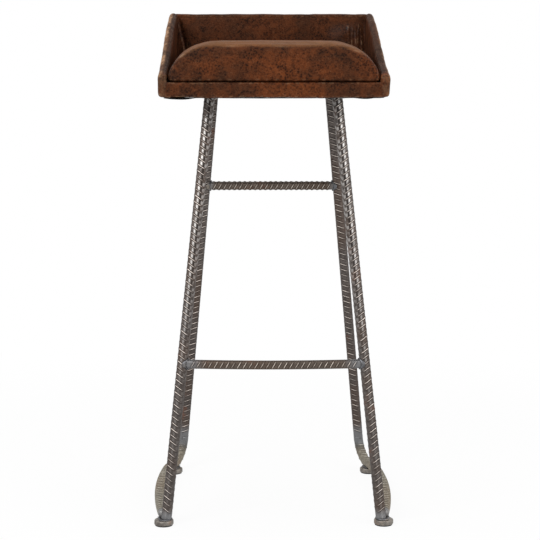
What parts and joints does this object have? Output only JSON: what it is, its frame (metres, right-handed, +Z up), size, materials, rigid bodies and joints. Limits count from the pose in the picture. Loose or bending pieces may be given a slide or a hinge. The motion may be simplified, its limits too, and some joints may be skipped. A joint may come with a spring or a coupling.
{
  "type": "bar stool",
  "caption": "Bar stool with a padded leather bucket seat on a welded frame of ribbed steel bar, with a footrest and floor runners on small disc feet.",
  "frame": {"origin": "on the floor, under the middle of the stool's outline", "axes": "+Z up, the front of the stool faces -Y, +X to the right in the picture"},
  "size_m": [0.4166, 0.3992, 0.858],
  "materials": {
    "ribbed_steel": "raw, dark, worn bright on the ribs",
    "weld_steel": "ground weld",
    "disc_steel": "raw, dull",
    "foot_pad": "matte",
    "zinc_hardware": "zinc plated",
    "plywood": "raw plywood",
    "leather": "distressed brown, soft sheen",
    "foam": "upholstery foam",
    "dust_cloth": "black non-woven cloth"
  },
  "bodies": {
    "root": {"front_leg_left": "ribbed_steel", "front_leg_right": "ribbed_steel", "rear_leg_left": "ribbed_steel", "rear_leg_right": "ribbed_steel", "runner_left": "ribbed_steel", "runner_right": "ribbed_steel", "footrest_bar": "ribbed_steel", "rear_stretcher": "ribbed_steel", "footrest_welds": "weld_steel", "stretcher_welds": "weld_steel", "front_foot_welds": "weld_steel", "rear_foot_welds": "weld_steel", "leg_top_welds": "weld_steel", "front_foot_disc_left": "disc_steel", "front_foot_disc_right": "disc_steel", "rear_foot_disc_left": "disc_steel", "rear_foot_disc_right": "disc_steel", "front_foot_pad_left": "foot_pad", "front_foot_pad_right": "foot_pad", "rear_foot_pad_left": "foot_pad", "rear_foot_pad_right": "foot_pad", "mounting_bar_left": "zinc_hardware", "mounting_bar_right": "zinc_hardware", "mounting_bolts": "zinc_hardware", "mounting_washers": "zinc_hardware", "tee_nuts": "zinc_hardware", "panel_screws": "zinc_hardware", "batten_screws": "zinc_hardware", "seat_board": "plywood", "front_batten": "plywood", "rear_batten": "plywood", "side_core_left": "plywood", "side_core_right": "plywood", "back_core": "plywood", "side_cover_left": "leather", "side_cover_right": "leather", "back_cover": "leather", "front_border": "leather", "cushion_cover": "leather", "cushion_foam": "foam", "back_foam": "foam", "dust_cover": "dust_cloth"}
  },
  "joints": []
}
